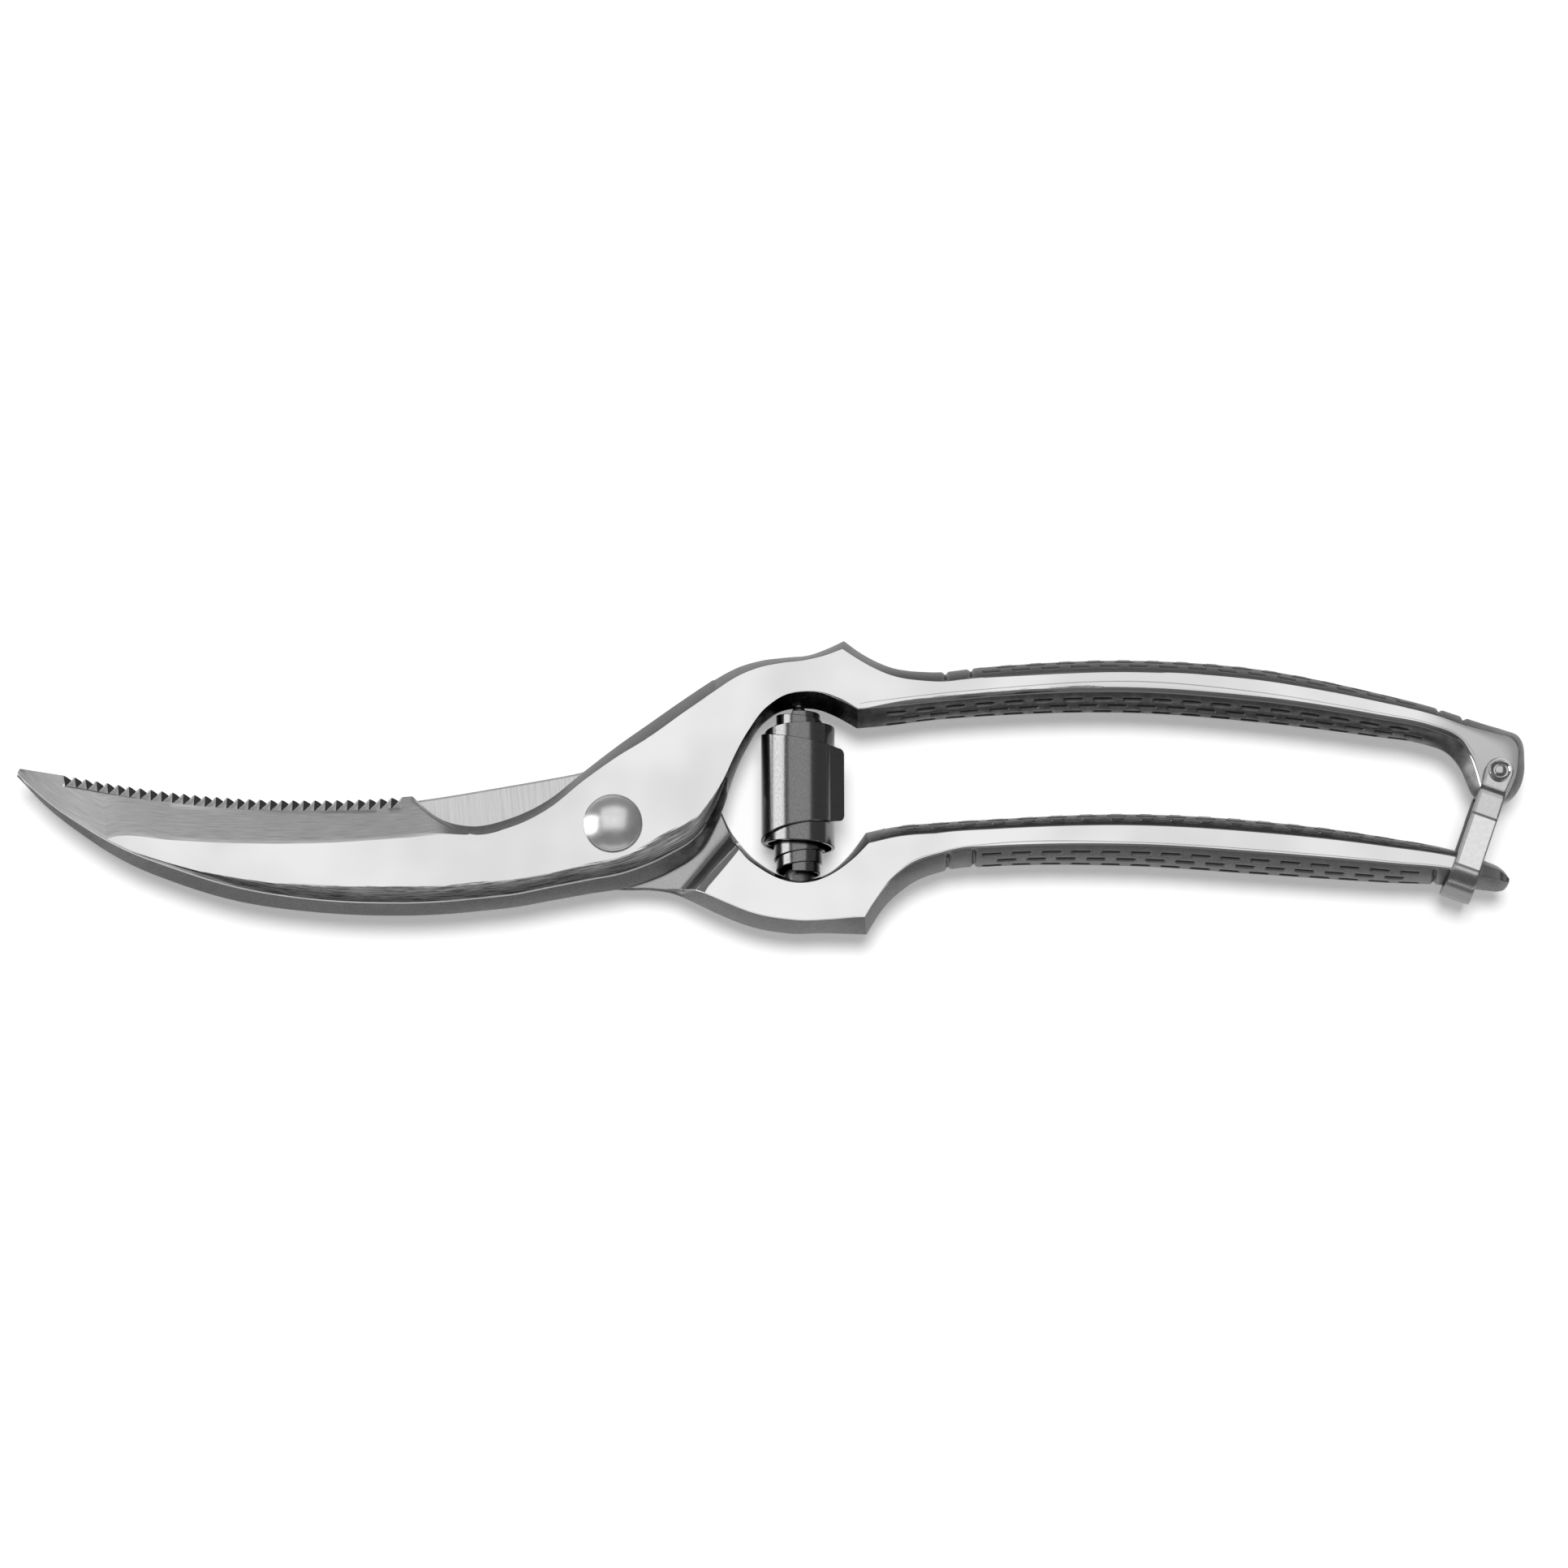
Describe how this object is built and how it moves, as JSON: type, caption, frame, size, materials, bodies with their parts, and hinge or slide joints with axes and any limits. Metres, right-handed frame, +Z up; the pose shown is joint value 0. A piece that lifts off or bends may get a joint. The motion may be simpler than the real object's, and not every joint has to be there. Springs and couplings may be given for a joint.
{
  "type": "poultry shears",
  "caption": "Forged steel poultry shears with a serrated bone-notch blade, a plain blade, a double volute spring between the handles and a swinging lock loop.",
  "frame": {"origin": "on the pivot axis, at the flat free end of the bolt, the plane that the shears rest on", "axes": "+X along the handles with the blades toward -X, +Y toward the handle that carries the lock, +Z up from the resting plane to the domed side"},
  "size_m": [0.2549, 0.0511, 0.0127],
  "materials": {
    "forged_steel": "forged stainless, flats polished, bevel brushed lengthwise, side walls matte",
    "bolt_steel": "turned and lightly polished",
    "spring_steel": "dark bright-rolled strip",
    "strap_steel": "pressed strip, brushed along its length"
  },
  "bodies": {
    "front_half": {"front_blade_half": "forged_steel", "pivot_bolt": "bolt_steel", "pivot_nut": "bolt_steel", "pivot_washer": "bolt_steel", "volute_spring": "spring_steel", "lock_rivet": "bolt_steel"},
    "back_half": {"back_blade_half": "forged_steel"},
    "loop": {"lock_loop": "strap_steel"}
  },
  "joints": [
    {"name": "handles_open", "type": "hinge", "parent": "front_half", "child": "back_half", "pos_m": [0, 0, 0.0063], "axis": [0, 0, -1], "range_deg": [-2, 34], "deforming": ["volute_spring"]},
    {"name": "lock_swing", "type": "hinge", "parent": "front_half", "child": "loop", "pos_m": [0.1491, 0.009, 0.0063], "axis": [0, 0, 1], "range_deg": [0, 230]}
  ]
}
